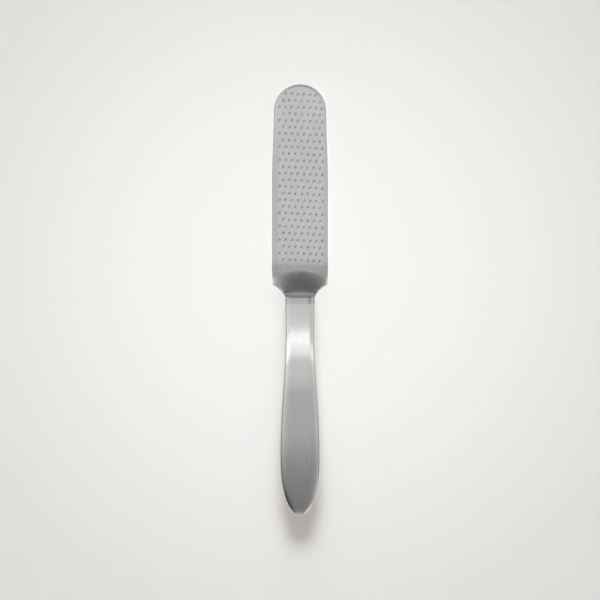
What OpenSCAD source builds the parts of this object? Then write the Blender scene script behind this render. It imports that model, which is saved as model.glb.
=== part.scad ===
// A foot file lying flat: a toothed steel blade with a ground bolster and a tang,
// set in a hollow handle of two pressed shells welded along their sides.
// X runs across the blade, Y along the tool with the tip at +Y, and Z up through the coarse face.
// The origin lies under the middle of the tool, level with the lowest point of the handle's belly.

/* [Blade] */
// Length from the tip to the shoulder corners
blade_l = 93; // [84:0.5:110]
// Width of the blade where its sides run parallel
blade_w = 25.9; // [22:0.1:28]
// Diameter of its round tip
tip_w = 24.4; // [20:0.1:25.9]
// Length behind the tip's round over which the sides widen
taper_l = 33; // [20:1:45]
// Thickness between the blade's two faces
blade_t = 2.4; // [1.8:0.1:3]
// Width of the bevel that runs round the blade's rim
bevel_w = 1; // [0.4:0.1:1.6]
// Depth of that bevel at the rim
bevel_d = 0.35; // [0.1:0.05:0.6]

/* [Coarse teeth] */
// Distance from the tip to the first row of teeth
first_row = 4.8; // [3:0.1:8]
// Distance between two rows
row_pitch = 3.07; // [2.6:0.01:5]
// Distance between two teeth of one row
tooth_pitch = 2.82; // [2.4:0.01:5]
// Bare band left along each side of the blade
tooth_band = 2.9; // [2:0.1:5]
// How far the field of teeth sits to the right
tooth_shift = 0.45; // [0:0.05:0.7]
// How much further to the right the staggered rows sit
stagger_shift = 0.3; // [0:0.05:0.6]
// How far the rows lean from square, in degrees
row_lean = 2.8; // [0:0.1:6]
// How far each punched tooth leans towards the tip, in degrees
tooth_lean = 12; // [0:1:20]
// Radius of a tooth's pit at its mouth
pit_r = 0.45; // [0.3:0.05:0.7]
// Radius of the pit at its floor
pit_floor_r = 0.2; // [0.1:0.02:0.28]
// Depth of the pit below the blade's face
pit_d = 0.3; // [0.2:0.05:0.6]
// Width of the cutting lip round the pit
lip_w = 0.07; // [0.03:0.01:0.2]
// Width of the burr's sloping flank
flank_w = 0.22; // [0.1:0.01:0.4]
// Height of the burr above the blade's face
burr_h = 0.18; // [0.1:0.02:0.5]

/* [Fine side] */
// Distance between two file cuts
cut_pitch = 1.15; // [0.9:0.05:3]
// Width of a cut at the face
cut_w = 0.45; // [0.2:0.05:0.7]
// Depth of a cut
cut_d = 0.18; // [0.08:0.02:0.4]
// Angle of the cuts across the blade
cut_angle = 28; // [0:1:45]
// Plain border left round the cuts
cut_border = 1.9; // [1:0.1:4]

/* [Bolster] */
// Width at the shoulder corners, where the wheel has also taken a little off the sides
corner_w = 25.3; // [21:0.1:28]
// Length from the shoulder corners to the seam with the handle
bolster_l = 5.4; // [4:0.1:7]
// Radius of the hollow of each shoulder, seen from above
shoulder_r = 12.6; // [9:0.1:16]
// Radius of the wheel-ground scoop that rises from each face
scoop_r = 38; // [30:0.5:40]
// Depth of the wheel's lowest point below the blade's face, which lets the scoop start with an edge
scoop_sink = 0.05; // [0.02:0.01:0.12]
// Share of its length by which the scoop starts later at the sides, so that its edge is an arch
arch_share = 0.45; // [0:0.05:0.7]
// Radius that rounds the crest of the scoop
crest_r = 8; // [4:0.25:10]
// Length of the level land between the crest and the seam
land_l = 1.3; // [0.8:0.1:3]
// Width of the flat tang
tang_w = 7; // [4:0.5:9]
// Thickness of the tang
tang_t = 2.2; // [1.5:0.1:2.6]
// Length of the tang behind the seam
tang_l = 20; // [12:1:30]

/* [Handle] */
// Length from the seam to the end
handle_l = 101.6; // [98:0.1:120]
// Width of the neck
neck_w = 14; // [12:0.1:16]
// Thickness of the neck
neck_t = 6.2; // [5.6:0.1:7.6]
// Length of the neck before its sides swell
neck_l = 13.5; // [8:0.5:30]
// Greatest width, at the belly
belly_w = 19.3; // [17:0.1:23]
// Greatest thickness, at the belly
belly_t = 10.4; // [8.6:0.1:13]
// Length over which the faces rise from the neck to the belly
rise_l = 44; // [30:1:54]
// Length of the rounded end, seen from above
end_l = 28.2; // [18:0.2:36]
// Length over which the faces fall to the end
fall_l = 40; // [28:1:42]
// Wall of the pressed shells
wall = 0.8; // [0.5:0.05:1.1]
// Height of the weld bead between the shells
weld_t = 0.4; // [0.2:0.05:0.6]
// Thickness of the solder between bolster and handle
solder_t = 0.3; // [0.2:0.05:0.6]
// Length of the tang's end that stands clear of the cement
tang_bare_l = 4; // [2:0.5:6]
// Clearance round the tang and the cement
fit_gap = 0.05; // [0.03:0.01:0.1]

/* [Hidden] */
$fn = 32;

steel = [0.74, 0.74, 0.745];
satin_steel = [0.8, 0.8, 0.805];
weld_steel = [0.66, 0.66, 0.67];
silver_solder = [0.83, 0.82, 0.78];
grey_cement = [0.5, 0.48, 0.45];

// Powers that shape a section: how flat its faces are and how tight its corners
face_power = 7;
corner_power = 2.2;
// Power of the ground bolster's sections, which are flat almost to their sides
bolster_power = 30;
// Powers that shape the handle's end: how blunt it is seen from the side and from above
fall_power = 2.5;
end_power = 2.35;
// Power that sets the handle's sections closer together near its mouth
body_spread = 1.3;
// Share of a section's height that stands as a straight side wall
side_share = 0.42;
// Share of its depth that a pit of the polished last row keeps
polished_share = 0.4;
// Overrun of every cut, and the depth to which a piece that is fused is sunk
over = 0.3;

edge_steps = 3;
face_steps = 14;
taper_steps = 5;
scoop_steps = 7;
shoulder_steps = 8;
body_steps = 20;
end_steps = 9;
cement_steps = 6;

total_l = blade_l + bolster_l + handle_l;
tip_y = total_l / 2;
end_y = -total_l / 2;
side_x = blade_w / 2;
tip_r = tip_w / 2;
tip_centre_y = tip_y - tip_r;
taper_y = tip_centre_y - taper_l;
corner_y = tip_y - blade_l;
seam_y = corner_y - bolster_l;
mouth_y = seam_y - solder_t;
mid_z = belly_t / 2;
face_z = blade_t / 2;
rim_z = weld_t / 2;

// The shoulder's hollow arc runs from the neck's side at the seam out to the blade's corner.
// Its centre lies beside the neck, square to the middle of the chord between the two.
chord = [(corner_w - neck_w) / 2, bolster_l];
arc_back = sqrt(pow(shoulder_r, 2) - pow(norm(chord) / 2, 2)) / norm(chord);
arc_centre_x = neck_w / 2 + chord.x / 2 + arc_back * chord.y;
arc_centre_y = seam_y + chord.y / 2 - arc_back * chord.x;
swell_y = seam_y - neck_l;
belly_y = end_y + end_l;
fall_y = end_y + fall_l;

// The scoop is a hollow arc and the crest a round one, tangent where they meet.
// Runs are measured from the hollow's lowest point, which lies below the blade's face.
scoop_rise = (neck_t - blade_t) / 2;
full_rise = scoop_rise + scoop_sink;
arcs_r = scoop_r + crest_r;
full_run = sqrt(pow(arcs_r, 2) - pow(arcs_r - full_rise, 2));
hollow_run = full_run * scoop_r / arcs_r;
land_y = seam_y + land_l;
scoop_y = land_y + full_run - sqrt(pow(scoop_r, 2) - pow(scoop_r - scoop_sink, 2));

// Radii of a tooth's burr at its lip and at its foot
lip_r = pit_r + lip_w;
foot_r = lip_r + flank_w;
// The teeth run down to where their feet would reach the scoop
rows = floor((tip_y - scoop_y - foot_r - first_row) / row_pitch) + 1;
full_row = floor((blade_w - 2 * tooth_band) / tooth_pitch) + 1;
tooth_spots = [
    for (row = [0 : rows - 1])
        let (count = full_row - row % 2)
        for (k = [0 : count - 1])
            let (
                x = (k - (count - 1) / 2) * tooth_pitch + tooth_shift + row % 2 * stagger_shift,
                y = tip_y - first_row - row * row_pitch - x * tan(row_lean)
            )
            if (y <= tip_centre_y || norm([x, y - tip_centre_y]) + foot_r <= tip_r - bevel_w)
                [x, y, row == rows - 1]
];

// Half width of the fine side's field, and the place where it starts
field_r = tip_r - cut_border;
field_y = scoop_y + cut_border;
cut_step = cut_pitch / cos(cut_angle);
cut_reach = field_r * tan(cut_angle);

tang_end_y = seam_y - tang_l;
cement_y = tang_end_y + tang_bare_l;

// Shares of the half width at which a section has its points, from one side to the other
bevel_share = 1 - bevel_w / side_x;
section_shares = concat(
    [for (k = [0 : edge_steps - 1]) 1 - (1 - bevel_share) * pow(k / edge_steps, 2)],
    [for (k = [0 : face_steps]) bevel_share * cos(180 * k / face_steps)],
    [for (k = [edge_steps - 1 : -1 : 0]) (1 - bevel_share) * pow(k / edge_steps, 2) - 1]
);

function mix(a, b, s) = a + (b - a) * s;
function ease(s) = (1 - cos(180 * min(1, max(0, s)))) / 2;

// Rounded form of a face across the tool: 1 in the middle and 0 at the sides
function across(u, power) = pow(max(0, 1 - pow(abs(u), power)), 1 / corner_power);

// Height of a rounded section over the tool's middle plane
function round_z(u, height, power = face_power) =
    rim_z + height * mix(side_share, 1, across(u, power));

function blade_z(u) = face_z - bevel_d * max(0, (abs(u) - bevel_share) / (1 - bevel_share));

// How far the scoop has risen, from 0 to 1, at a place along the tool and a share of its half width
function scoop_share(y, u = 0) =
    let (
        left = min(full_run, max(0, (y - land_y) / (1 - arch_share * pow(u, 2)))),
        run = full_run - left,
        height = run < hollow_run
            ? scoop_r - sqrt(pow(scoop_r, 2) - pow(run, 2))
            : full_rise - crest_r + sqrt(pow(crest_r, 2) - pow(left, 2))
    )
    max(0, height - scoop_sink) / scoop_rise;

// Half width of the outline, which an inset draws in along the handle
function half_w(y, inset = 0) =
    y >= scoop_y ? mix(side_x, tip_r, ease((y - taper_y) / taper_l))
    : y >= corner_y ? mix(side_x, corner_w / 2, ease((scoop_y - y) / (scoop_y - corner_y)))
    : y > seam_y ? arc_centre_x - sqrt(pow(shoulder_r, 2) - pow(y - arc_centre_y, 2))
    : y >= belly_y ? mix(neck_w, belly_w, ease((swell_y - y) / (swell_y - belly_y))) / 2 - inset
    : (belly_w / 2 - inset) * sqrt(max(0, 1 - pow((belly_y - y) / (end_l - inset), end_power)));

// Bluntness of the fall to the end, from 1 where it starts to 0 at the end
function blunt(s) = pow(max(0, 1 - pow(s, fall_power)), 1 / corner_power);

// Height of the handle's face over the rim plane of its shell, drawn in by an inset
function face_h(y, inset = 0) =
    y >= fall_y
        ? mix(neck_t, belly_t, ease((seam_y - y) / rise_l)) / 2 - inset - rim_z
        : (belly_t / 2 - inset - rim_z) * blunt((fall_y - y) / (fall_l - inset));

// Upper half of a section of the handle, from +X to -X
function handle_half(y, inset = 0) =
    [for (u = section_shares) [u * half_w(y, inset), y, round_z(u, face_h(y, inset))]];

// The same of the bolster, whose sharp corners round off over the land to those of the neck
function bolster_half(y) =
    let (
        rounding = pow(max(0, 1 - (y - seam_y) / land_l), 2),
        power = mix(bolster_power, face_power, rounding),
        height = face_h(seam_y)
    )
    [
        for (u = section_shares)
            [u * half_w(y), y, mix(blade_z(u), round_z(u, height, power), scoop_share(y, u))]
    ];

// Upper half of a section of the blade's bar, with its bevels
function bar_half(y) =
    let (w = half_w(y), flat_x = w - bevel_w, rim_half = face_z - bevel_d)
    [[w, y, rim_half], [flat_x, y, face_z], [-flat_x, y, face_z], [-w, y, rim_half]];

// A whole section is its upper half, then the mirror image of that half from -X back to +X
function whole(half) =
    concat(half, [for (k = [len(half) - 1 : -1 : 0]) [half[k].x, half[k].y, -half[k].z]]);

// A shell's section stands on the rim plane, so its side walls end in a foot there
function on_feet(half) =
    let (a = half[0], b = half[len(half) - 1])
    concat([[a.x, a.y, rim_z]], half, [[b.x, b.y, rim_z]]);

// Places of a shell's sections, from its mouth to just short of its end
function handle_stations(inset) = concat(
    [for (k = [0 : body_steps]) mix(mouth_y, belly_y, pow(k / body_steps, body_spread))],
    [for (k = [1 : end_steps - 1]) belly_y - (end_l - inset) * sin(90 * k / end_steps)]
);

// Two triangles for each patch between neighbouring sections of n points
function patches(sections, n, closed, start = 0) = [
    for (m = [0 : sections - 2], k = [0 : closed ? n - 1 : n - 2])
        let (a = start + m * n + k, b = start + m * n + (k + 1) % n)
        each [[a, a + n, b + n], [a, b + n, b]]
];
function flipped(faces) = [for (f = faces) [f[2], f[1], f[0]]];

// Solid through a list of whole sections, from +Y to -Y
module loft(sections) {
    n = len(sections[0]);
    far = (len(sections) - 1) * n;
    polyhedron(
        [for (s = sections) each s],
        concat(
            patches(len(sections), n, true),
            [[for (k = [0 : n - 1]) k], [for (k = [n - 1 : -1 : 0]) far + k]]
        )
    );
}

// Upper handle shell: an outer and an inner skin, joined round the mouth and along the flat rim
module half_shell() {
    outer = [for (y = handle_stations(0)) on_feet(handle_half(y))];
    inner = [for (y = handle_stations(wall)) on_feet(handle_half(y, wall))];
    count = len(outer);
    n = len(outer[0]);
    skin = count * n;
    far = (count - 1) * n;
    pole = 2 * skin;
    polyhedron(
        concat(
            [for (s = concat(outer, inner)) each s],
            [[0, end_y, rim_z], [0, end_y + wall, rim_z]]
        ),
        concat(
            patches(count, n, false),
            flipped(patches(count, n, false, skin)),
            [for (k = [0 : n - 2]) [k, k + 1, skin + k + 1, skin + k]],
            [for (a = [0 : n : far - n]) [a, skin + a, skin + a + n, a + n]],
            [for (a = [n - 1 : n : far - 1]) [skin + a, a, a + n, skin + a + n]],
            [for (k = [far : far + n - 2]) [k, pole, k + 1]],
            [for (k = [far : far + n - 2]) [skin + k, skin + k + 1, pole + 1]],
            [
                [far, skin + far, pole + 1, pole],
                [skin + far + n - 1, far + n - 1, pole, pole + 1]
            ]
        )
    );
}

// Bar of the blade from its round tip to the scoop
module blade_bar() {
    tip = [for (point = bar_half(tip_centre_y)) if (point.x > 0) [point.x, point.z]];
    loft([
        for (y = concat(
            [for (k = [0 : taper_steps]) mix(tip_centre_y, taper_y, k / taper_steps)],
            [scoop_y]
        )) whole(bar_half(y))
    ]);
    translate([0, tip_centre_y, 0])
        rotate_extrude(angle = 180)
            polygon([
                [0, -face_z], [tip[1].x, -face_z], [tip[0].x, -tip[0].y],
                tip[0], tip[1], [0, face_z]
            ]);
}

module burr() {
    flare = flank_w / burr_h;
    translate([0, 0, -over])
        cylinder(h = over + burr_h, r1 = foot_r + over * flare, r2 = lip_r);
}

// A pit's cone, cut from above its mouth at height top down to its floor
module pit(depth, top) {
    flare = (pit_r - pit_floor_r) / (pit_d + burr_h);
    floor_r = pit_r - (depth + top) * flare;
    translate([0, 0, -depth])
        cylinder(h = depth + top + over, r1 = floor_r, r2 = pit_r + over * flare);
}

module burrs() {
    for (spot = tooth_spots)
        if (!spot[2])
            translate([spot.x, spot.y, face_z])
                rotate([-tooth_lean, 0, 0])
                    burr();
}

module pits() {
    for (spot = tooth_spots)
        translate([spot.x, spot.y, face_z])
            if (spot[2])
                pit(pit_d * polished_share, 0);
            else
                rotate([-tooth_lean, 0, 0])
                    pit(pit_d, burr_h);
}

// Slanting file cuts in the rear face, kept inside its border
module fine_cuts() {
    intersection() {
        translate([0, 0, -face_z - over])
            linear_extrude(over + cut_d)
                union() {
                    translate([0, tip_centre_y])
                        circle(field_r);
                    translate([-field_r, field_y])
                        square([2 * field_r, tip_centre_y - field_y]);
                }
        for (y = [field_y - cut_reach : cut_step : tip_y - cut_border + cut_reach])
            translate([0, y, -face_z])
                rotate([0, 0, cut_angle])
                    rotate([90, 0, 90])
                        linear_extrude(2 * tip_r / cos(cut_angle), center = true)
                            polygon([
                                [-cut_w / 2, -over], [cut_w / 2, -over], [cut_w / 2, 0],
                                [0, cut_d], [-cut_w / 2, 0]
                            ]);
    }
}

// Flat tang with a round end, grown on every side by a clearance
module tang(gap = 0) {
    half = tang_w / 2;
    translate([0, 0, -tang_t / 2 - gap])
        linear_extrude(tang_t + 2 * gap)
            union() {
                translate([0, tang_end_y + half])
                    circle(half + gap);
                translate([-half - gap, tang_end_y + half])
                    square([tang_w + 2 * gap, tang_l - half + over]);
            }
}

module bolster() {
    loft([
        for (y = concat(
            [for (k = [0 : scoop_steps - 1]) mix(scoop_y, corner_y, k / scoop_steps)],
            [for (k = [0 : shoulder_steps]) mix(corner_y, seam_y, k / shoulder_steps)]
        )) whole(bolster_half(y))
    ]);
}

module blade() {
    color(steel)
        translate([0, 0, mid_z])
            difference() {
                union() {
                    blade_bar();
                    bolster();
                    tang();
                    burrs();
                }
                pits();
                fine_cuts();
            }
}

// Solder that fills the joint between the bolster and the handle's mouth, round the tang
module mouth_solder() {
    color(silver_solder)
        translate([0, 0, mid_z])
            difference() {
                loft([whole(handle_half(seam_y)), whole(handle_half(mouth_y))]);
                tang(fit_gap);
            }
}

// Cement that fills the neck of the handle round the tang
module tang_cement() {
    inset = wall + fit_gap;
    color(grey_cement)
        translate([0, 0, mid_z])
            difference() {
                loft([
                    for (k = [0 : cement_steps])
                        whole(handle_half(mix(mouth_y, cement_y, k / cement_steps), inset))
                ]);
                tang(fit_gap);
            }
}

module handle_front_shell() {
    color(satin_steel)
        translate([0, 0, mid_z])
            half_shell();
}

module handle_rear_shell() {
    color(satin_steel)
        translate([0, 0, mid_z])
            mirror([0, 0, 1])
                half_shell();
}

// Weld bead that joins the two shells, ground flush, from one side of the mouth round the end to the other
module side_weld() {
    outer = handle_stations(0);
    inner = handle_stations(wall);
    count = len(outer);
    color(weld_steel)
        translate([0, 0, mid_z - rim_z])
            linear_extrude(weld_t)
                polygon(concat(
                    [for (y = outer) [half_w(y), y]],
                    [[0, end_y]],
                    [for (k = [count - 1 : -1 : 0]) [-half_w(outer[k]), outer[k]]],
                    [for (y = inner) [-half_w(y, wall), y]],
                    [[0, end_y + wall]],
                    [for (k = [count - 1 : -1 : 0]) [half_w(inner[k], wall), inner[k]]]
                ));
}

blade();
mouth_solder();
tang_cement();
handle_front_shell();
handle_rear_shell();
side_weld();
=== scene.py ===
"""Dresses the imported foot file: smooth skins, punched teeth, file cuts, satin steel, floor, light and camera.

Sizes are in millimetres, in the CAD model's frame, until they reach Blender.
"""

import math

import bmesh
import bpy
import numpy as np
from mathutils.geometry import delaunay_2d_cdt
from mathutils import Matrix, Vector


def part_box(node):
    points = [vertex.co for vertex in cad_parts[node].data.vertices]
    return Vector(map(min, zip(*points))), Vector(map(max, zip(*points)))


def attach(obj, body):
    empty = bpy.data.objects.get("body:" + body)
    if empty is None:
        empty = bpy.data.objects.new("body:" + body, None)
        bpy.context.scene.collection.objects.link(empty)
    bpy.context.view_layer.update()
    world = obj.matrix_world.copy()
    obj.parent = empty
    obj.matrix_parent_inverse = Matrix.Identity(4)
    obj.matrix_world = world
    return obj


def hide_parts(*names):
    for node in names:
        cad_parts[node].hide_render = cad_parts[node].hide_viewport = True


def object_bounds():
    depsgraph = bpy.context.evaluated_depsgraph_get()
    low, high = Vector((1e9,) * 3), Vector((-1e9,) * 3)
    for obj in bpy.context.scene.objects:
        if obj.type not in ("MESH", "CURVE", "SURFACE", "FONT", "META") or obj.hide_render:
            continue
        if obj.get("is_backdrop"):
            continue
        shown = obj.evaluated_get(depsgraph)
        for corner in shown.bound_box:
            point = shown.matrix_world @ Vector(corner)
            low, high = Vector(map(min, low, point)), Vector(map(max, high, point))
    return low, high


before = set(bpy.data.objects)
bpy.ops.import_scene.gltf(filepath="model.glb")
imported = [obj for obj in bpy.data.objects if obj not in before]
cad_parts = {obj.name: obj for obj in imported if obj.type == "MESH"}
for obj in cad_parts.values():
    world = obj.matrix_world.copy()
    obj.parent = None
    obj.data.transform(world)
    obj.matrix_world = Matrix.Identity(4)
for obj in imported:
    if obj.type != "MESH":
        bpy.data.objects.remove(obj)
cad_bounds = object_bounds()

MM = 0.001
BODY = "root"


def span(node):
    """Lowest and highest corner of a CAD node, in millimetres."""
    low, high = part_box(node)
    return np.array(low) / MM, np.array(high) / MM


blade_low, blade_high = span("blade")
solder_low, solder_high = span("mouth_solder")
shell_low, shell_high = span("handle_front_shell")
weld_low, weld_high = span("side_weld")

# Blade: its length to the corners, its tip, taper and thickness, and the soft bevel and rim
BLADE_L = 93
SIDE_X = (blade_high[0] - blade_low[0]) / 2
TIP_R = 12.2
TAPER_L = 33
BLADE_T = 2.4
BEVEL_W = 1
BEVEL_D = 0.35
BEVEL_SOFT = 0.14
RIM_R = 0.12
TIP_Y = blade_high[1]
TIP_CENTRE_Y = TIP_Y - TIP_R
TAPER_Y = TIP_CENTRE_Y - TAPER_L
CORNER_Y = TIP_Y - BLADE_L
FACE_Z = BLADE_T / 2

# Coarse teeth: the first row's place from the tip, pitches, border, shifts to the right, angles and size
FIRST_ROW = 4.8
ROW_PITCH = 3.07
TOOTH_PITCH = 2.82
TOOTH_BAND = 2.9
TOOTH_SHIFT = 0.45
STAGGER_SHIFT = 0.3
ROW_LEAN = math.radians(2.8)
TOOTH_LEAN = math.radians(12)
FOOT_R = 0.74

# Fine side: its file cuts, the border that they leave, and the least length of a cut
CUT_PITCH = 1.15
CUT_W = 0.45
CUT_D = 0.18
CUT_ANGLE = math.radians(28)
CUT_BORDER = 1.9
CUT_LEAST_L = 4 * CUT_W

# Bolster and tang: corners and hollow shoulders, scoop, crest, the flat land at the seam, and the tang
SEAM_Y = solder_high[1]
MOUTH_Y = solder_low[1]
CORNER_W = 25.3
SHOULDER_R = 12.6
SCOOP_R = 38
SCOOP_SINK = 0.05
CREST_R = 8
LAND_L = 1.3
TANG_W = 7
TANG_T = 2.2
TANG_END_Y = blade_low[1]

# Share of its length that the scoop loses at its sides, so that it starts in an arch
ARCH_SHARE = 0.45

# The tang's broken edges, the share of its width that its faces keep, and its room in the solder
TANG_EDGE = 0.15
TANG_FACE_SHARE = 0.96
TANG_GAP = 0.05

# Handle: middle plane and rims of the shells, neck, belly, and the stretches where it swells and falls
MID_Z = (weld_low[2] + weld_high[2]) / 2
RIM_Z = (weld_high[2] - weld_low[2]) / 2
NECK_T = 6.2
NECK_W = 14
NECK_L = 13.5
BELLY_W = shell_high[0] - shell_low[0]
BELLY_T = 2 * (shell_high[2] - MID_Z)
RISE_L = 44
END_L = 28.2
FALL_L = 40
WALL = 0.8
END_Y = shell_low[1]
SWELL_Y = SEAM_Y - NECK_L
BELLY_Y = END_Y + END_L
FALL_Y = END_Y + FALL_L

# How far weld and solder lie under the surface round them
WELD_SINK = 0.02
SOLDER_SINK = 0.09

# Rounded edge on each side of the seam: distance from it, and how far the section is drawn in there
EDGE_R = 0.1
SEAM_EDGE = ((0, EDGE_R), (0.3 * EDGE_R, 0.3 * EDGE_R), (EDGE_R, 0))

# Powers that shape a section (flatness of its faces, tightness of its corners) and the handle's end
FACE_POWER = 7
CORNER_POWER = 2.2
BOLSTER_POWER = 30
FALL_POWER = 2.5
END_POWER = 2.35

# Share of a face's height that its side walls have
SIDE_SHARE = 0.42

# Each shoulder's hollow arc runs from the neck's side at the seam out to the blade's corner
CHORD = np.array([(CORNER_W - NECK_W) / 2, CORNER_Y - SEAM_Y])
CHORD_L = np.linalg.norm(CHORD)
ARC_BACK = math.sqrt(SHOULDER_R**2 - (CHORD_L / 2) ** 2) / CHORD_L
ARC_CENTRE_X = NECK_W / 2 + CHORD[0] / 2 + ARC_BACK * CHORD[1]
ARC_CENTRE_Y = SEAM_Y + CHORD[1] / 2 - ARC_BACK * CHORD[0]

# The scoop is a hollow arc and the crest a round one. Runs start at the hollow's lowest point, which is sunk.
SCOOP_RISE = (NECK_T - BLADE_T) / 2
FULL_RISE = SCOOP_RISE + SCOOP_SINK
ARCS_R = SCOOP_R + CREST_R
FULL_RUN = math.sqrt(ARCS_R**2 - (ARCS_R - FULL_RISE) ** 2)
HOLLOW_RUN = FULL_RUN * SCOOP_R / ARCS_R
LAND_Y = SEAM_Y + LAND_L
SCOOP_Y = LAND_Y + FULL_RUN - math.sqrt(SCOOP_R**2 - (SCOOP_R - SCOOP_SINK) ** 2)

# Numbers of points across, along and round the skins, and of trial points along a file cut
FACE_STEPS = 41
TIP_STEPS = 73
BLADE_STEPS = 60
SCOOP_STEPS = 40
SHOULDER_STEPS = 36
TANG_STEPS = 25
HANDLE_STEPS = 120
END_STEPS = 60
CUT_STEPS = 4001
TOOTH_SIDES = 16

# Power that crowds the handle's sections towards its mouth
MOUTH_CROWDING = 1.1

# Depths inside the blade's outline at which a section has its points, close together at the rim
RIM_DEPTHS = np.array([0, 0.012, 0.035, 0.07, 0.12, 0.2, 0.35, 0.5, 0.68, 0.86, 0.93, 1, 1.07, 1.14])

# The same as shares of the half width, followed across the face from one side to the other
RIM_SHARES = 1 - RIM_DEPTHS / SIDE_X
FACE_SHARES = RIM_SHARES[-1] * np.cos(np.linspace(0, np.pi, FACE_STEPS))
SHARES = np.concatenate([RIM_SHARES[:-1], FACE_SHARES, -RIM_SHARES[-2::-1]])

# Meshes: points nearer than this are welded, and edges up to this angle are smooth
WELD_DISTANCE = 0.0005
CREASE = math.radians(40)

chance = np.random.default_rng(11)


def mix(a, b, s):
    """The value at a share of the way from one to another."""
    return a + (b - a) * s


def ease(s):
    """A soft step: a share, slowed at both ends."""
    return (1 - np.cos(np.pi * np.clip(s, 0, 1))) / 2


# Forms


def across(u, power):
    """Rounded form of a face across the tool: 1 in the middle and 0 at the sides."""
    return np.maximum(0, 1 - np.abs(u) ** power) ** (1 / CORNER_POWER)


def round_z(u, height, power=FACE_POWER):
    """Height of a rounded section over the tool's middle plane."""
    return RIM_Z + height * mix(SIDE_SHARE, 1, across(u, power))


def blade_z(u):
    """Height of the blade's face over the middle plane, with its softened bevel and rim."""
    depth = (1 - np.abs(u)) * SIDE_X
    slope = 1 - depth / BEVEL_W
    start = np.clip(slope + BEVEL_SOFT, 0, 2 * BEVEL_SOFT)
    bevel = start**2 / (4 * BEVEL_SOFT) + np.maximum(0, slope - BEVEL_SOFT)
    curl = np.maximum(0, RIM_R - depth)
    return FACE_Z - BEVEL_D * bevel - RIM_R + np.sqrt(RIM_R**2 - curl**2)


def scoop_share(y, u):
    """How far the ground scoop has risen, from 0 to 1, at a place along the tool and a share across it."""
    left = np.clip((y - LAND_Y) / (1 - ARCH_SHARE * np.square(u)), 0, FULL_RUN)
    run = FULL_RUN - left
    hollow = SCOOP_R - np.sqrt(SCOOP_R**2 - run**2)
    crest = FULL_RISE - CREST_R + np.sqrt(CREST_R**2 - np.minimum(left, CREST_R) ** 2)
    return np.maximum(0, np.where(run < HOLLOW_RUN, hollow, crest) - SCOOP_SINK) / SCOOP_RISE


def half_w(y, inset=0.0):
    """Half width of the outline, drawn in by an inset."""
    if y >= SCOOP_Y:
        return mix(SIDE_X, TIP_R, ease((y - TAPER_Y) / TAPER_L))
    if y >= CORNER_Y:
        return mix(SIDE_X, CORNER_W / 2, ease((SCOOP_Y - y) / (SCOOP_Y - CORNER_Y))) - inset
    if y > SEAM_Y:
        return ARC_CENTRE_X - math.sqrt(SHOULDER_R**2 - (y - ARC_CENTRE_Y) ** 2) - inset
    if y >= BELLY_Y:
        return mix(NECK_W, BELLY_W, ease((SWELL_Y - y) / (SWELL_Y - BELLY_Y))) / 2 - inset
    share = (BELLY_Y - y) / (END_L - inset)
    return (BELLY_W / 2 - inset) * math.sqrt(max(0, 1 - share**END_POWER))


def face_h(y, inset):
    """Height of the handle's face over the rim of its shell, drawn in by an inset."""
    if y >= FALL_Y:
        return mix(NECK_T, BELLY_T, ease((SEAM_Y - y) / RISE_L)) / 2 - inset - RIM_Z
    share = (FALL_Y - y) / (FALL_L - inset)
    blunt = max(0, 1 - share**FALL_POWER) ** (1 / CORNER_POWER)
    return (BELLY_T / 2 - inset - RIM_Z) * blunt


def section(y, heights, width):
    """Points of one half section, from +X to -X."""
    return np.stack([SHARES * width, np.full(len(SHARES), y), heights], axis=1)


def handle_half(y, inset):
    """Upper half of a section of the handle."""
    return section(y, round_z(SHARES, face_h(y, inset)), half_w(y, inset))


def bolster_half(y, inset=0.0):
    """Upper half of a section of the bolster, which passes from the blade's form to the neck's."""
    power = mix(BOLSTER_POWER, FACE_POWER, max(0, 1 - (y - SEAM_Y) / LAND_L) ** 2)
    rounded = round_z(SHARES, face_h(SEAM_Y, inset), power)
    return section(y, mix(blade_z(SHARES), rounded, scoop_share(y, SHARES)), half_w(y, inset))


def whole(half):
    """A whole section: its upper half, then the mirror image from -X back to +X."""
    return np.concatenate([half, half[::-1] * (1, 1, -1)])


# Meshes


def add_object(name, data):
    """Puts data into the scene as an object."""
    made = bpy.data.objects.new(name, data)
    bpy.context.scene.collection.objects.link(made)
    return made


class Skin:
    """Collects the points and faces of one piece, in millimetres over the middle plane."""

    def __init__(self):
        self.points = []
        self.faces = []

    def add(self, points):
        """Adds points and returns their numbers, in the same shape."""
        points = np.asarray(points, float)
        start = len(self.points)
        self.points.extend(points.reshape(-1, 3))
        return start + np.arange(len(self.points) - start).reshape(points.shape[:-1])

    def weave(self, numbers, closed=False):
        """Skins a grid of point numbers with quads, and joins each row's ends where it is closed."""
        if closed:
            numbers = np.concatenate([numbers, numbers[:, :1]], axis=1)
        quads = np.stack([numbers[:-1, :-1], numbers[1:, :-1], numbers[1:, 1:], numbers[:-1, 1:]], axis=-1)
        self.faces.extend(quads.reshape(-1, 4).tolist())

    def make(self, name, slot, *nodes):
        """Makes the mesh in metres, welds its seams, and sets it in place of CAD nodes."""
        mesh = bpy.data.meshes.new(name)
        points = (np.array(self.points) + (0, 0, MID_Z)) * MM
        mesh.from_pydata(points.tolist(), [], self.faces)
        piece = add_object(name, mesh)
        tidy_mesh(mesh)
        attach(piece, BODY)
        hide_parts(*nodes)
        piece.data.materials.append(MATERIALS[slot])
        return piece


def tidy_mesh(mesh):
    """Welds points that coincide, turns all faces outwards and shades smooth up to the crease angle."""
    shape = bmesh.new()
    shape.from_mesh(mesh)
    bmesh.ops.remove_doubles(shape, verts=shape.verts, dist=WELD_DISTANCE * MM)
    bmesh.ops.recalc_face_normals(shape, faces=shape.faces)
    shape.to_mesh(mesh)
    shape.free()
    mesh.shade_smooth()
    mesh.set_sharp_from_angle(angle=CREASE)


# Shader nodes


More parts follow.
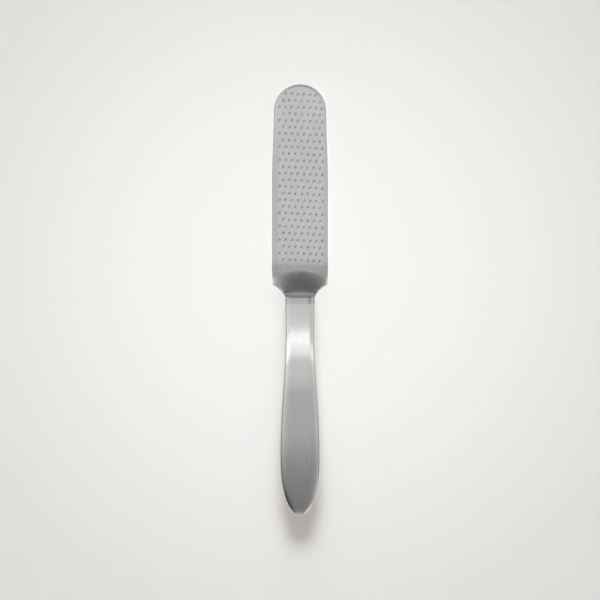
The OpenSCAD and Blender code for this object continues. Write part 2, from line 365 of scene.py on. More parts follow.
def add_node(tree, kind, inputs=None, **settings):
    """Adds a shader node, sets its properties and feeds its inputs with values or sockets."""
    node = tree.nodes.new("ShaderNode" + kind)
    for key, value in settings.items():
        setattr(node, key, value)
    for key, value in (inputs or {}).items():
        if isinstance(value, bpy.types.NodeSocket):
            tree.links.new(value, node.inputs[key])
        else:
            node.inputs[key].default_value = value
    return node


def calc(tree, operation, *values):
    """Result of a math node."""
    return add_node(tree, "Math", dict(enumerate(values)), operation=operation).outputs[0]


def product(tree, *values):
    """Product of several values."""
    result = values[0]
    for value in values[1:]:
        result = calc(tree, "MULTIPLY", result, value)
    return result


def rest(tree, value):
    """What a share leaves of 1."""
    return calc(tree, "SUBTRACT", 1.0, value)


def remap(tree, value, low, high, to_low=0.0, to_high=1.0, smooth=True):
    """A value's range stretched to another range, and held there."""
    inputs = {"Value": value, "From Min": low, "From Max": high, "To Min": to_low, "To Max": to_high}
    kind = "SMOOTHSTEP" if smooth else "LINEAR"
    return add_node(tree, "MapRange", inputs, interpolation_type=kind).outputs["Result"]


def rise(tree, value, low, high):
    """0 at one length and 1 at another, both in millimetres."""
    return remap(tree, value, low * MM, high * MM)


def band(tree, value, *stops):
    """1 between the two middle stops, in millimetres, falling to 0 at the outer ones."""
    a, b, c, d = stops
    return product(tree, rise(tree, value, a, b), rise(tree, value, d, c))


def noise(tree, place, scale, detail, stretch, roughness):
    """Noise in the object's frame, stretched along an axis for a grain."""
    spread = add_node(tree, "Mapping", {"Vector": place, "Scale": stretch}).outputs["Vector"]
    inputs = {"Vector": spread, "Scale": scale, "Detail": detail, "Roughness": roughness}
    return add_node(tree, "TexNoise", inputs).outputs["Fac"]


def ramp(tree, value, stops):
    """Levels of grey at stops from 0 to 1."""
    node = add_node(tree, "ValToRGB", {"Fac": value})
    elements = node.color_ramp.elements
    elements.remove(elements[0])
    elements[0].position = stops[0][0]
    for position, _ in stops[1:]:
        elements.new(position)
    for element, (_, level) in zip(elements, stops):
        element.color = (level, level, level, 1)
    return node.outputs["Color"]


# Numbers of a Mix node's sockets for colours
MIX_A = 6
MIX_B = 7
MIX_RESULT = 2


def tint(tree, factor, dark, light):
    """A colour between two, by a factor."""
    inputs = {0: factor, MIX_A: (*dark, 1), MIX_B: (*light, 1)}
    return add_node(tree, "Mix", inputs, data_type="RGBA").outputs[MIX_RESULT]


def dim(tree, colour, share):
    """A colour with only a share of its light."""
    return add_node(tree, "VectorMath", {0: colour, "Scale": share}, operation="SCALE").outputs[0]


def new_material(name):
    """A new material, its node tree and its shader."""
    material = bpy.data.materials.new(name)
    material.use_nodes = True
    tree = material.node_tree
    return material, tree, tree.nodes["Principled BSDF"]


def finish_with(tree, shader, colour, height, depth):
    """Gives a shader its colour and a bump as deep as given."""
    tree.links.new(colour, shader.inputs["Base Color"])
    bump = add_node(tree, "Bump", {"Height": height, "Strength": 1.0, "Distance": depth * MM})
    tree.links.new(bump.outputs["Normal"], shader.inputs["Normal"])


# Materials

# Noises: scale, detail, stretch and roughness
GRAIN_ALONG = (2600, 3, (1, 0.022, 1), 0.6)
GRAIN_ACROSS = (2600, 3, (0.05, 1, 1), 0.6)
MOTTLE = (420, 4, (1, 0.6, 1), 0.55)
PATCHES = (60, 2, (1, 0.5, 1), 0.5)
GRIT = (1800, 6, (1, 1, 1), 0.5)

# The steel's colour follows grain, mottling and patches, by these shares and over this range
COLOUR_GRAIN = 0.5
COLOUR_SPOTS = 0.25
COLOUR_RANGE = (0.36, 0.64)

# Its roughness follows grain and mottling
ROUGH_GRAIN = 0.6
ROUGH_MOTTLE = 0.4
ROUGH_RANGE = (0.3, 0.7)

# Stops along the tool between which the grain runs across it, and between which the scoop's sides are dull
CROSS_GRAIN = (SEAM_Y - 0.2, SEAM_Y + 0.1, SCOOP_Y - 2, SCOOP_Y + 1)
DULL_SCOOP = (LAND_Y, LAND_Y + 5, SCOOP_Y - 2, SCOOP_Y + 1)

# Depths inside the outline where the rim's dullness starts and is full, and where the scoop's would run out
DULL_RIM = (1.1, 0.8)
DULL_REACH = 24

# Share of the light that painted shade in the pits of the teeth takes, near the scoop and at the tip
PIT_PAINTED_SHADE = (0.33, 0.02)

# Depth under the face at which the painted shade is full, and height over the middle plane under which it fades
# again
PIT_SHADE_DEPTH = 0.07
PIT_SHADE_END_Z = FACE_Z - 0.5

# Where the painted shade in the pits starts and is full, inside the outline and along the tool
PIT_SHADE_INSET = (1.2, 1.4)
PIT_SHADE_START = (SCOOP_Y + 2.2, SCOOP_Y + 2.8)

# Stops that several darker patches share, across the tool and along it
EVERYWHERE = (-20, -19, 19, 20)
BESIDE_TEETH = (SCOOP_Y - 1, SCOOP_Y + 1, TAPER_Y + 10, TAPER_Y + 35)
SEAM_SIDE = (SEAM_Y - 1, SEAM_Y - 0.5)
NEAR_MOUTH = (MOUTH_Y, MOUTH_Y + 1)

# Darker patches: stops across and along the tool, and the share of the light that is left. On the blade,
# painted shade darkens the start of the scoop, its middle, reaching further to the right, the crest and the
# land; the strips beside the teeth and the seam are darker too.
BLADE_PAINTED_SHADE_AND_DARK_BANDS = [
    ((-20, -19, -10.7, -9.5), BESIDE_TEETH, 0.9),
    ((10.3, 11.3, 19, 20), BESIDE_TEETH, 0.94),
    (EVERYWHERE, (SCOOP_Y - 5, SCOOP_Y - 3, SCOOP_Y - 0.2, SCOOP_Y + 6), 0.72),
    ((-12, -3, 6, 19), (CORNER_Y - 2, CORNER_Y + 1, SCOOP_Y - 5, SCOOP_Y - 3), 0.72),
    (EVERYWHERE, (LAND_Y - 0.4, LAND_Y + 0.6, LAND_Y + 2, LAND_Y + 5), 0.8),
    (EVERYWHERE, (*SEAM_SIDE, LAND_Y, LAND_Y + 1.3), 0.55),
    (EVERYWHERE, (*SEAM_SIDE, SEAM_Y + 0.4, SEAM_Y + 1), 0.8),
]

# On the handle, a smear of solder that ran over the front of the neck, and a duller band behind the mouth
HANDLE_TARNISH = [
    ((3.6, 4.3, 4.7, 5.3), (-2.6, -0.9, *NEAR_MOUTH), 0.66),
    (EVERYWHERE, (-3, -0.5, *NEAR_MOUTH), 0.86),
]

# Steels: darkest and palest colour, range of roughness, depth of the grain, darker patches (on the blade partly
# painted shade), and roughness where dull, which also turns on the painted shade in the pits
STEELS = {
    "blade_steel": ((0.77, 0.77, 0.77), (0.89, 0.89, 0.89), (0.14, 0.21), 0.0014, BLADE_PAINTED_SHADE_AND_DARK_BANDS, 0.33),
    "handle_steel": ((0.73, 0.73, 0.73), (0.79, 0.79, 0.79), (0.12, 0.19), 0.0006, HANDLE_TARNISH),
    "weld_steel": ((0.6, 0.6, 0.61), (0.72, 0.72, 0.73), (0.3, 0.42), 0.002),
    "solder": ((0.5, 0.49, 0.47), (0.62, 0.61, 0.59), (0.35, 0.5), 0.002),
}

# Cement
CEMENT_DARK = (0.38, 0.36, 0.33)
CEMENT_PALE = (0.58, 0.56, 0.52)
CEMENT_ROUGH = 0.9
CEMENT_BUMP = 0.1


def steel_grain(tree, place, y):
    """Grain along the tool, which runs across it on the bolster."""
    along = noise(tree, place, *GRAIN_ALONG)
    over = noise(tree, place, *GRAIN_ACROSS)
    on_bolster = band(tree, y, *CROSS_GRAIN)
    return calc(tree, "ADD", product(tree, along, rest(tree, on_bolster)), product(tree, over, on_bolster))


def rim_depth(tree, x, y):
    """How deep a place on the blade lies inside its outline."""
    past = calc(tree, "MAXIMUM", calc(tree, "SUBTRACT", y, TIP_CENTRE_Y * MM), 0.0)
    out = calc(tree, "SQRT", calc(tree, "MULTIPLY_ADD", x, x, product(tree, past, past)))
    edge = remap(tree, y, TAPER_Y * MM, TIP_CENTRE_Y * MM, SIDE_X * MM, TIP_R * MM)
    return calc(tree, "SUBTRACT", edge, out)


def dull_share(tree, y, depth):
    """1 on the blade's rim, and growing towards the sides of its scoop."""
    rim = rise(tree, depth, *DULL_RIM)
    outward = remap(tree, depth, DULL_REACH * MM, 0.0, smooth=False)
    return calc(tree, "MAXIMUM", rim, product(tree, outward, band(tree, y, *DULL_SCOOP)))


def pit_painted_shade(tree, y, z, depth):
    """Share of the light that painted shade takes in the pits of the teeth."""
    face = MID_Z + FACE_Z
    return product(
        tree,
        rise(tree, z, face, face - PIT_SHADE_DEPTH),
        rise(tree, z, MID_Z, MID_Z + PIT_SHADE_END_Z),
        rise(tree, depth, *PIT_SHADE_INSET),
        rise(tree, y, *PIT_SHADE_START),
        remap(tree, y, SCOOP_Y * MM, TIP_Y * MM, *PIT_PAINTED_SHADE, smooth=False),
    )


def steel(name, dark, light, rough, grain_depth, tarnish_and_painted_shade=(), dull_rough=None):
    """Stainless steel: satin grain, faint mottling and darker patches, on the blade partly painted shade.

    The blade's has its own roughness on the rim and the scoop's sides, and painted shade in the pits of the
    teeth.
    """
    material, tree, shader = new_material(name)
    place = add_node(tree, "TexCoord").outputs["Object"]
    x, y, z = add_node(tree, "SeparateXYZ", {"Vector": place}).outputs
    grain = steel_grain(tree, place, y)
    mottle = noise(tree, place, *MOTTLE)
    spots = calc(tree, "ADD", mottle, noise(tree, place, *PATCHES))
    shade = calc(tree, "MULTIPLY_ADD", spots, COLOUR_SPOTS, product(tree, grain, COLOUR_GRAIN))
    colour = tint(tree, remap(tree, shade, *COLOUR_RANGE), dark, light)
    # Darker patches; on the blade they are partly painted shade
    for across_stops, along_stops, share in tarnish_and_painted_shade:
        patch = product(tree, band(tree, x, *across_stops), band(tree, y, *along_stops))
        colour = dim(tree, colour, calc(tree, "MULTIPLY_ADD", patch, share - 1, 1.0))
    wear = calc(tree, "MULTIPLY_ADD", grain, ROUGH_GRAIN, product(tree, mottle, ROUGH_MOTTLE))
    roughness = remap(tree, wear, *ROUGH_RANGE, *rough)
    if dull_rough:
        depth = rim_depth(tree, x, y)
        roughness = calc(tree, "MAXIMUM", roughness, product(tree, dull_share(tree, y, depth), dull_rough))
        # Painted shade: darker in the pits of the teeth
        colour = dim(tree, colour, rest(tree, pit_painted_shade(tree, y, z, depth)))
    tree.links.new(roughness, shader.inputs["Roughness"])
    shader.inputs["Metallic"].default_value = 1.0
    finish_with(tree, shader, colour, grain, grain_depth)
    return material


def cement(name):
    """Grey filling: grainy and dull."""
    material, tree, shader = new_material(name)
    place = add_node(tree, "TexCoord").outputs["Object"]
    grit = noise(tree, place, *GRIT)
    shader.inputs["Roughness"].default_value = CEMENT_ROUGH
    finish_with(tree, shader, tint(tree, grit, CEMENT_DARK, CEMENT_PALE), grit, CEMENT_BUMP)
    return material


MATERIALS = {name: steel(name, *look) for name, look in STEELS.items()}
MATERIALS["cement"] = cement("cement")

# Teeth

# Share of their height left to the teeth at the tip, where they are worn, and how far the wear reaches
TIP_WEAR = 0.3
WEAR_L = 28

# How one tooth differs from the next: spread of its place, sizes, turn and depth of its oval, and its burr
TOOTH_WANDER = 0.07
TOOTH_SIZES = (0.88, 1.1)
OVAL_TURN = (math.radians(50), 0.35)
OVAL_SHARES = (0.02, 0.14)
BURR_SHARES = (0.7, 1)

# A bulge to one side, how far its turn can go, and how much of oval and bulge the foot takes
BULGE_SHARE = 0.08
BULGE_TURN = 6
FOOT_SHARE = 0.25

# Room for a wandering tooth inside the rim, in radii of its foot
FOOT_ROOM = 1.2

# Rings of a tooth, from its foot over its lip to its floor: radius, height, and share of the lean
TOOTH_RINGS = [
    (FOOT_R, 0, 0),
    (0.68, 0.015, 0.3),
    (0.62, 0.05, 0.8),
    (0.59, 0.095, 1),
    (0.565, 0.12, 1),
    (0.53, 0.125, 1),
    (0.49, 0.09, 1),
    (0.445, 0.02, 1),
    (0.385, -0.05, 1),
    (0.28, -0.11, 1),
    (0.12, -0.135, 1),
]

# Rings of a pit of the last row, which the wheel has polished down
POLISHED_RINGS = [(0.5, 0, 0), (0.46, -0.025, 0), (0.36, -0.12, 0), (0.22, -0.18, 0), (0.1, -0.2, 0)]


def tooth_spots():
    """Centres of the teeth, in staggered rows that follow the tip, and whether each is polished down."""
    rows = math.floor((TIP_Y - SCOOP_Y - FOOT_R - FIRST_ROW) / ROW_PITCH) + 1
    full_row = math.floor((2 * SIDE_X - 2 * TOOTH_BAND) / TOOTH_PITCH) + 1
    for row in range(rows):
        count = full_row - row % 2
        for k in range(count):
            x = (k - (count - 1) / 2) * TOOTH_PITCH + TOOTH_SHIFT + row % 2 * STAGGER_SHIFT
            y = TIP_Y - FIRST_ROW - row * ROW_PITCH - x * math.tan(ROW_LEAN)
            if y <= TIP_CENTRE_Y or math.hypot(x, y - TIP_CENTRE_Y) + FOOT_R <= TIP_R - BEVEL_W:
                yield x, y, row == rows - 1


def hold_in(x, y):
    """A tooth's place, drawn in where its foot would reach the rim."""
    out = np.array([x, max(0, y - TIP_CENTRE_Y)])
    reach = np.linalg.norm(out)
    limit = (TIP_R if y > TIP_CENTRE_Y else half_w(y)) - RIM_DEPTHS[-1] - FOOT_ROOM * FOOT_R
    return np.array([x, y]) - out * max(0, 1 - limit / reach)


def tooth(x, y, polished):
    """Rings of points of one punched tooth, each a little different from the next."""
    angles = np.arange(TOOTH_SIDES) * 2 * np.pi / TOOTH_SIDES
    x = x + chance.normal(0, TOOTH_WANDER)
    y = y + chance.normal(0, TOOTH_WANDER)
    size = chance.uniform(*TOOTH_SIZES)
    turn = chance.normal(*OVAL_TURN)
    oval = chance.uniform(*OVAL_SHARES)
    burr = chance.uniform(*BURR_SHARES)
    worn = mix(TIP_WEAR, 1, min(1, (TIP_Y - y) / WEAR_L))
    bulge = BULGE_SHARE * np.cos(angles - chance.uniform(0, BULGE_TURN))
    form = 1 + oval * np.cos(2 * (angles - turn)) + bulge
    x, y = hold_in(x, y)
    rings = []
    for radius, height, lean in POLISHED_RINGS if polished else TOOTH_RINGS:
        tilt = TOOTH_LEAN * lean
        r = radius * size * mix(1, form, 1 if radius < FOOT_R else FOOT_SHARE)
        h = height * worn * (burr if height > 0 else 1)
        east, north = r * np.cos(angles), r * np.sin(angles)
        forward = y + north * math.cos(tilt) + h * math.sin(tilt)
        upward = FACE_Z + h * math.cos(tilt) - north * math.sin(tilt)
        rings.append(np.stack([x + east, forward, upward], axis=1))
    return np.array(rings)


def file_cuts():
    """Slanting cuts of the fine side: two edges and a floor that run out at both ends."""
    field_r = TIP_R - CUT_BORDER
    field_y = SCOOP_Y + CUT_BORDER
    reach = field_r * math.tan(CUT_ANGLE)
    along = np.array([math.cos(CUT_ANGLE), math.sin(CUT_ANGLE)])
    side = np.array([-along[1], along[0]]) * CUT_W / 2
    steps = np.linspace(-2 * field_r, 2 * field_r, CUT_STEPS)
    for y in np.arange(field_y - reach, TIP_Y - CUT_BORDER + reach, CUT_PITCH / math.cos(CUT_ANGLE)):
        line = np.array([0, y]) + steps[:, None] * along
        inside = (np.abs(line[:, 0]) <= field_r) & (line[:, 1] >= field_y)
        inside &= (line[:, 1] <= TIP_CENTRE_Y) | (np.hypot(line[:, 0], line[:, 1] - TIP_CENTRE_Y) <= field_r)
        if np.count_nonzero(inside) * (steps[1] - steps[0]) < CUT_LEAST_L:
            continue
        start, end = line[inside][0], line[inside][-1]
        a, b = start + along * CUT_W, end - along * CUT_W
        yield np.array([start, a - side, b - side, end, b + side, a + side]), np.array([a, b])


# Blade

# What the triangulation keeps, and how near two of its points can be
INSIDE_BORDER = 1
SAME_PLACE = 1e-7

# A face whose normal is at least this upright is flat and shaded flat
UPRIGHT = 0.99999


def outline(depth):
    """Edge of the blade from +X round the tip to -X, drawn in by a depth."""
    turn = np.linspace(0, np.pi, TIP_STEPS)[1:-1]
    r = TIP_R - depth
    arc = np.stack([r * np.cos(turn), TIP_CENTRE_Y + r * np.sin(turn)], axis=1)
    right = np.array([(half_w(y) - depth, y) for y in np.linspace(SCOOP_Y, TIP_CENTRE_Y, BLADE_STEPS)])
    return np.concatenate([right, arc, right[::-1] * (-1, 1)])


def at_height(places, z):
    """Places in a plane, as points at a height."""
    return np.column_stack([places, np.full(len(places), z)])


def fill(skin, border, loops, z):
    """Fills a flat face between its border and convex loops, and leaves the loops open."""
    flat = np.concatenate([border, *loops])
    owner = np.repeat(np.arange(-1, len(loops)), [len(border), *map(len, loops)])
    edges = []
    start = 0
    for loop in [border, *loops]:
        numbers = start + np.arange(len(loop))
        edges.extend(zip(numbers.tolist(), np.roll(numbers, -1).tolist()))
        start += len(loop)
    face = [list(range(len(border)))]
    places, _, triangles, origins, *_ = delaunay_2d_cdt(flat.tolist(), edges, face, INSIDE_BORDER, SAME_PLACE)
    owners = [owner[origin[0]] if origin else -1 for origin in origins]
    numbers = skin.add(at_height(places, z))
    for triangle in triangles:
        names = {owners[k] for k in triangle}
        if len(names) > 1 or -1 in names:
            skin.faces.append([int(numbers[k]) for k in triangle])


def add_sides(skin):
    """Rim and bevels of the blade, on both faces, and the narrow side between them."""
    for side in (1, -1):
        rows = [at_height(outline(depth), side * blade_z(u)) for depth, u in zip(RIM_DEPTHS, RIM_SHARES)]
        skin.weave(skin.add(rows))
    skin.weave(skin.add([at_height(outline(0), side * blade_z(1.0)) for side in (1, -1)]))


def add_teeth(skin, border):
    """Front face with its coarse teeth."""
    teeth = [tooth(*spot) for spot in tooth_spots()]
    fill(skin, border, [rings[0][:, :2] for rings in teeth], FACE_Z)
    for rings in teeth:
        numbers = skin.add(rings)
        skin.weave(numbers, closed=True)
        skin.faces.append(numbers[-1].tolist())


def add_cuts(skin, border):
    """Rear face with its file cuts: valleys between an edge of six points and a floor line of two."""
    cuts = list(file_cuts())
    fill(skin, border, [edge for edge, _ in cuts], -FACE_Z)
    for edge, floor_line in cuts:
        e = skin.add(at_height(edge, -FACE_Z)).tolist()
        f = skin.add(at_height(floor_line, CUT_D - FACE_Z)).tolist()
        skin.faces.extend([[e[0], e[1], f[0]], [e[0], f[0], e[5]], [e[3], f[1], e[2]], [e[3], e[4], f[1]]])
        skin.faces.extend([[e[1], e[2], f[1], f[0]], [e[5], f[0], f[1], e[4]]])


def add_bolster(skin):
    """Ground bolster, from the blade's corners to its face at the seam."""
    scoop = np.linspace(SCOOP_Y, CORNER_Y, SCOOP_STEPS)[:-1]
    shoulder = np.linspace(CORNER_Y, SEAM_Y, SHOULDER_STEPS)[:-1]
    rows = [whole(bolster_half(y)) for y in (*scoop, *shoulder)]
    rows.extend(whole(bolster_half(SEAM_Y + ahead, inset)) for ahead, inset in SEAM_EDGE[::-1])
    numbers = skin.add(rows)
    skin.weave(numbers, closed=True)
    skin.faces.append(numbers[-1].tolist())


def add_tang(skin):
    """Flat tang with a round end."""
    half = TANG_W / 2
    turn = np.linspace(np.pi, 2 * np.pi, TANG_STEPS)
    end = np.stack([half * np.cos(turn), TANG_END_Y + half + half * np.sin(turn)], axis=1)
    edge = np.concatenate([[[-half, SEAM_Y]], end, [[half, SEAM_Y]]])
    face, side = TANG_T / 2, TANG_T / 2 - TANG_EDGE
    levels = ((TANG_FACE_SHARE, -face), (1, -side), (1, side), (TANG_FACE_SHARE, face))
    numbers = skin.add([at_height(edge * (share, 1), z) for share, z in levels])
    skin.weave(numbers, closed=True)
    skin.faces.extend([numbers[0].tolist(), numbers[-1].tolist()])


def make_blade():
    """Toothed blade with its bevelled rim, file cuts, ground bolster and tang, in one forging."""
    skin = Skin()
    add_sides(skin)
    lower_edge = np.stack([FACE_SHARES[::-1] * SIDE_X, np.full(len(FACE_SHARES), SCOOP_Y)], axis=1)
    border = np.concatenate([outline(RIM_DEPTHS[-1]), lower_edge[1:-1]])
    add_teeth(skin, border)
    add_cuts(skin, border)
    add_bolster(skin)
    add_tang(skin)
    made = skin.make("toothed_blade", "blade_steel", "blade")
    for face in made.data.polygons:
        face.use_smooth = abs(face.normal.z) < UPRIGHT
    return made


# Handle


def handle_places(inset):
    """Places of a shell's sections, from its mouth to its end, each with its own inset."""
    body = mix(MOUTH_Y - EDGE_R, BELLY_Y, np.linspace(0, 1, HANDLE_STEPS) ** MOUTH_CROWDING)[1:]
    end = BELLY_Y - (END_L - inset) * np.sin(np.linspace(0, np.pi / 2, END_STEPS))[1:]
    start = [(MOUTH_Y - back, inset + drawn_in) for back, drawn_in in SEAM_EDGE]
    return start + [(y, inset) for y in (*body, *end)]


def on_feet(half):
    """A half section with the feet of its side walls on the rim plane."""
    feet = half[[0, -1]] * (1, 1, 0) + (0, 0, RIM_Z)
    return np.concatenate([feet[:1], half, feet[1:]])


def make_shell(name, node, side):
    """One pressed half of the hollow handle, with its inner skin."""
    skin = Skin()
    outer = np.array([on_feet(handle_half(y, inset)) for y, inset in handle_places(0)])
    inner = np.array([on_feet(handle_half(y, inset)) for y, inset in handle_places(WALL)])
    outside = skin.add(outer * (1, 1, side))
    inside = skin.add(inner * (1, 1, side))
    skin.weave(outside)
    skin.weave(inside)
    skin.weave(np.stack([outside[0], inside[0]]))
    for edge in (0, -1):
        skin.weave(np.stack([outside[:, edge], inside[:, edge]]))
    return skin.make(name, "handle_steel", node)


def make_side_weld():
    """Weld bead between the shells, ground flush, from one side of the mouth round the end to the other."""
    skin = Skin()
    paths = []
    for inset, z in ((WELD_SINK, RIM_Z), (WELD_SINK, -RIM_Z), (WALL, -RIM_Z), (WALL, RIM_Z)):
        right = np.array([(half_w(y, inset), y, z) for y, _ in handle_places(inset)])
        paths.append(np.concatenate([right, right[::-1] * (-1, 1, 1)]))
    rows = skin.add(np.stack(paths, axis=1))
    skin.weave(rows, closed=True)
    skin.faces.extend([rows[0].tolist(), rows[-1].tolist()])
    return skin.make("flush_weld", "weld_steel", "side_weld")


def make_mouth_solder():
    """Ring of solder in the joint between bolster and handle, a little lower than both, round the tang."""
    skin = Skin()
    front, back = (whole(handle_half(y, SOLDER_SINK)) for y in (SEAM_Y, MOUTH_Y))
    hole = np.array([TANG_W / 2 + TANG_GAP, TANG_T / 2 + TANG_GAP])
    rim = front[:, [0, 2]]
    slot = rim / np.max(np.abs(rim) / hole, axis=1)[:, None]
    front_slot, back_slot = (np.insert(slot, 1, y, axis=1) for y in (SEAM_Y, MOUTH_Y))
    skin.weave(skin.add([front, back, back_slot, front_slot, front]), closed=True)
    return skin.make("seam_solder", "solder", "mouth_solder")


blade = make_blade()
front_shell = make_shell("front_shell", "handle_front_shell", 1)
rear_shell = make_shell("rear_shell", "handle_rear_shell", -1)
side_weld = make_side_weld()
seam_solder = make_mouth_solder()
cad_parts["tang_cement"].data.materials.clear()
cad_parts["tang_cement"].data.materials.append(MATERIALS["cement"])
steel_pieces = [blade, front_shell, rear_shell, side_weld, seam_solder]

# Floor

# Half the side of the square floor, and its corners as shares of that
FLOOR_REACH = 3000
FLOOR_CORNERS = ((-1, -1), (1, -1), (1, 1), (-1, 1))

# Painted pool of light on the floor: its colour near a place under the tool and far from it, and the distances
# between which it changes
FLOOR_NEAR = (0.92, 0.913, 0.9)
FLOOR_FAR = (0.71, 0.702, 0.69)
FLOOR_CENTRE_Y = 17
FLOOR_FADE = (20, 220)

# The tool rests on the lowest point of its last stretch, seen along a floor that leans about this much
TIP_REST_L = 3
LIKELY_SLOPE = 0.02


def floor_material():
    """Matt and pale, with a painted pool of light that leaves it darker far out, and clear from below."""
    material, tree, shader = new_material("floor")
    place = add_node(tree, "TexCoord").outputs["Object"]
    centre = (0, FLOOR_CENTRE_Y * MM, 0)
    away = add_node(tree, "VectorMath", {0: place, 1: centre}, operation="DISTANCE").outputs["Value"]
    # Painted pool of light: paler near the tool, darker far out
    colour = tint(tree, rise(tree, away, *FLOOR_FADE), FLOOR_NEAR, FLOOR_FAR)
    tree.links.new(colour, shader.inputs["Base Color"])
    shader.inputs["Roughness"].default_value = 1.0
    shader.inputs["Specular IOR Level"].default_value = 0.0
    clear = add_node(tree, "BsdfTransparent")
    behind = add_node(tree, "NewGeometry").outputs["Backfacing"]
    both = add_node(tree, "MixShader", {0: behind, 1: shader.outputs[0], 2: clear.outputs[0]})
    tree.links.new(both.outputs[0], tree.nodes["Material Output"].inputs["Surface"])
    return material


def make_floor():
    """Pale floor under the tool, which rests on it with its belly and the rim of its tip."""
    points = np.concatenate([[v.co[:] for v in piece.data.vertices] for piece in (blade, rear_shell)])
    tip = points[points[:, 1] > (TIP_Y - TIP_REST_L) * MM]
    low = tip[np.argmin(tip[:, 2] - LIKELY_SLOPE * tip[:, 1])]
    others = points[points[:, 1] < 0]
    slope = np.max((low[2] - others[:, 2]) / (low[1] - others[:, 1]))
    places = np.array(FLOOR_CORNERS) * FLOOR_REACH * MM
    corners = [(x, y, low[2] + slope * (y - low[1])) for x, y in places]
    mesh = bpy.data.meshes.new("floor")
    mesh.from_pydata(corners, [], [(0, 1, 2, 3)])
    floor = add_object("floor", mesh)
    floor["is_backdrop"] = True
    floor.data.materials.append(floor_material())
    return floor


floor = make_floor()

# Light

# Light that the steel mirrors: degrees from straight up, and level. Along the tool, positive towards the tip.
LEVELS_ALONG = [
    (-90, 0.5), (-60, 0.45), (-45, 0.34), (-34, 0.2), (-24, 0.215), (-17, 0.24), (-12, 0.26), (-7, 0.31),
    (-4, 0.39), (-1.8, 0.52), (0, 0.64), (2.5, 0.7), (5, 0.76), (7.8, 0.75), (9.2, 0.26), (12, 0.2),
    (17, 0.2), (24, 0.18), (29, 0.155), (34, 0.135), (37, 0.165), (40, 0.41), (43, 0.6), (62, 0.6), (90, 0.6),
]

# Across the tool, as a share of that level, positive to the right
SHARES_ACROSS = [
    (-90, 0.45), (-76, 0.45), (-62, 0.9), (-45, 1.15), (-30, 1.25), (-14, 1.1), (0, 1), (14, 0.9),
    (30, 0.9), (45, 0.93), (62, 0.95), (76, 0.5), (90, 0.45),
]

# One dark patch: direction, degrees from it where it is full and where it ends, and the share of light left
DARK_PATCH = ((-0.45, -0.66, 0.6), 14, 34)
DARK_SHARE = 0.36

# Pale patches past the end, lower right: direction, degrees where each is full and where it ends, and level
PALE_PATCHES = [
    ((0.55, -0.44, 0.71), 6, 40, 0.13),
    ((0.8, -0.35, 0.49), 4, 22, 0.26),
    ((0.46, -0.82, 0.34), 10, 26, 0.55),
]

# Pale walls left and right of the dark band ahead: parts of the direction where each starts and is full
LEFT_WALL = (-0.07, -0.3)
RIGHT_WALL = (0.12, 0.4)
WALLS_AHEAD = (0.02, 0.12)
WALL_LEVEL = 0.62

# Warm tone of these surroundings, and the share of them that falls on the floor, which lamps light instead
WORLD_TONE = (1.0, 0.985, 0.965, 1)
FLOOR_SHARE = 0.62

# Suns beyond the tip that light the floor: tilt, turn, strength and spread. Pairs soften the shadow's sides,
# and the lower pair draws it out.
KEYS = {
    "left_key": (61, -4, 1.0, 19),
    "right_key": (61, 6, 1.0, 19),
    "left_low_key": (70, -3, 0.96, 36),
    "right_low_key": (70, 5, 0.96, 36),
}
KEY_PLACE = (0, 1000, 500)
KEY_COLOUR = (0.965, 1, 1.03)

# Sun straight over the floor, a little warmer than those
TOP_PLACE = (0, 0, 1000)
TOP_COLOUR = (1.08, 1, 0.93)
TOP_STRENGTH = 0.77
TOP_SPREAD = 3

# Strips of light over the neck that only the steel mirrors: place, length across, width along, and power
STRIPS = {
    "strip": (0, -9.1, 30, 5, 0.00047),
    "wide_strip": (0, -12.7, 30, 12, 0.0006),
    "left_strip": (-55, -13.9, 80, 12, 0.0023),
    "right_strip": (45, -15.8, 60, 9, 0.001),
}
STRIP_Z = 70


def level_ramp(tree, part, levels):
    """Levels given by angle, read from one part of a direction, which runs from -1 to 1."""
    stops = [((math.sin(math.radians(angle)) + 1) / 2, level) for angle, level in levels]
    return ramp(tree, calc(tree, "MULTIPLY_ADD", part, 0.5, 0.5), stops)


def lobe(tree, direction, toward, inner, outer):
    """1 within an inner angle of a direction, falling to 0 at an outer angle."""
    aim = (np.array(toward) / np.linalg.norm(toward)).tolist()
    near = add_node(tree, "VectorMath", {0: direction, 1: aim}, operation="DOT_PRODUCT").outputs["Value"]
    return remap(tree, near, math.cos(math.radians(outer)), math.cos(math.radians(inner)))


def light_world():
    """Soft studio surroundings for the steel to mirror: pale overhead, dark ahead, with pale walls beyond."""
    world = bpy.data.worlds.new("studio")
    bpy.context.scene.world = world
    world.use_nodes = True
    tree = world.node_tree
    direction = add_node(tree, "TexCoord").outputs["Generated"]
    x, y, _ = add_node(tree, "SeparateXYZ", {"Vector": direction}).outputs
    dark = remap(tree, lobe(tree, direction, *DARK_PATCH), 0, 1, 1, DARK_SHARE)
    level = product(tree, level_ramp(tree, y, LEVELS_ALONG), level_ramp(tree, x, SHARES_ACROSS), dark)
    for *patch, strength in PALE_PATCHES:
        level = calc(tree, "MULTIPLY_ADD", lobe(tree, direction, *patch), strength, level)
    walls = calc(tree, "MAXIMUM", remap(tree, x, *LEFT_WALL), remap(tree, x, *RIGHT_WALL))
    walls = product(tree, walls, remap(tree, y, *WALLS_AHEAD), WALL_LEVEL)
    level = calc(tree, "MAXIMUM", level, walls)
    off_floor = calc(tree, "MINIMUM", add_node(tree, "LightPath").outputs["Diffuse Depth"], 1.0)
    level = product(tree, level, calc(tree, "MULTIPLY_ADD", off_floor, FLOOR_SHARE - 1, 1.0))
    tree.links.new(level, tree.nodes["Background"].inputs["Strength"])
    tree.nodes["Background"].inputs["Color"].default_value = WORLD_TONE


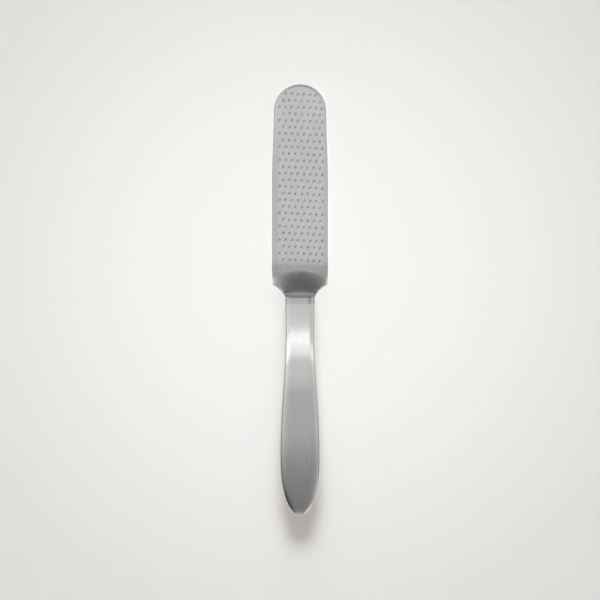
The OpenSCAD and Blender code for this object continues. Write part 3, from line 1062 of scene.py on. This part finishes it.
def link_light(lamp, receivers, blockers=None):
    """Lets a lamp light only some objects, and only some of them cast its shadow."""
    for role, members in (("receiver", receivers), ("blocker", blockers)):
        if members:
            group = bpy.data.collections.new(lamp.name + "_" + role)
            for member in members:
                group.objects.link(member)
            setattr(lamp.light_linking, role + "_collection", group)


def add_lamp(name, kind, place, turn=(0, 0, 0), **settings):
    """Adds a lamp at a place in millimetres, turned by degrees."""
    data = bpy.data.lights.new(name, kind)
    for key, value in settings.items():
        setattr(data, key, value)
    lamp = add_object(name, data)
    lamp.location = [length * MM for length in place]
    lamp.rotation_euler = [math.radians(angle) for angle in turn]
    return lamp


def light_floor():
    """Suns that light only the floor. Those beyond the tip throw the handle's shadow past its end."""
    for name, (tilt, turn, strength, spread) in KEYS.items():
        settings = {"energy": strength, "angle": math.radians(spread), "color": KEY_COLOUR}
        key = add_lamp(name, "SUN", KEY_PLACE, (-tilt, 0, turn), **settings)
        link_light(key, [floor], [front_shell, rear_shell, side_weld])
    settings = {"energy": TOP_STRENGTH, "angle": math.radians(TOP_SPREAD), "color": TOP_COLOUR}
    link_light(add_lamp("top", "SUN", TOP_PLACE, **settings), [floor])


def light_steel():
    """Strips over the neck, which make the highlight across it and down its sides."""
    for name, (x, y, length, width, power) in STRIPS.items():
        settings = {"energy": power, "shape": "RECTANGLE", "size": length * MM, "size_y": width * MM}
        strip = add_lamp(name, "AREA", (x, y, STRIP_Z), **settings)
        strip.visible_camera = False
        link_light(strip, steel_pieces)


light_world()
light_floor()
light_steel()

# Camera

# Width of the view at the tool, distance from which it is seen, and width of the camera's sensor
FIELD = 278.1
DISTANCE = 1500
SENSOR_W = 36


def add_camera():
    """Camera straight above the tool, with a long lens."""
    data = bpy.data.cameras.new("camera")
    data.sensor_width = SENSOR_W
    data.lens = SENSOR_W * DISTANCE / FIELD
    camera = add_object("camera", data)
    camera.location = (0, 0, (DISTANCE + MID_Z) * MM)
    bpy.context.scene.camera = camera


add_camera()
bpy.context.scene.view_settings.view_transform = "Standard"

boxes = {"cad": cad_bounds, "visual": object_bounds()}
{name: [list(corner) for corner in corners] for name, corners in boxes.items()}
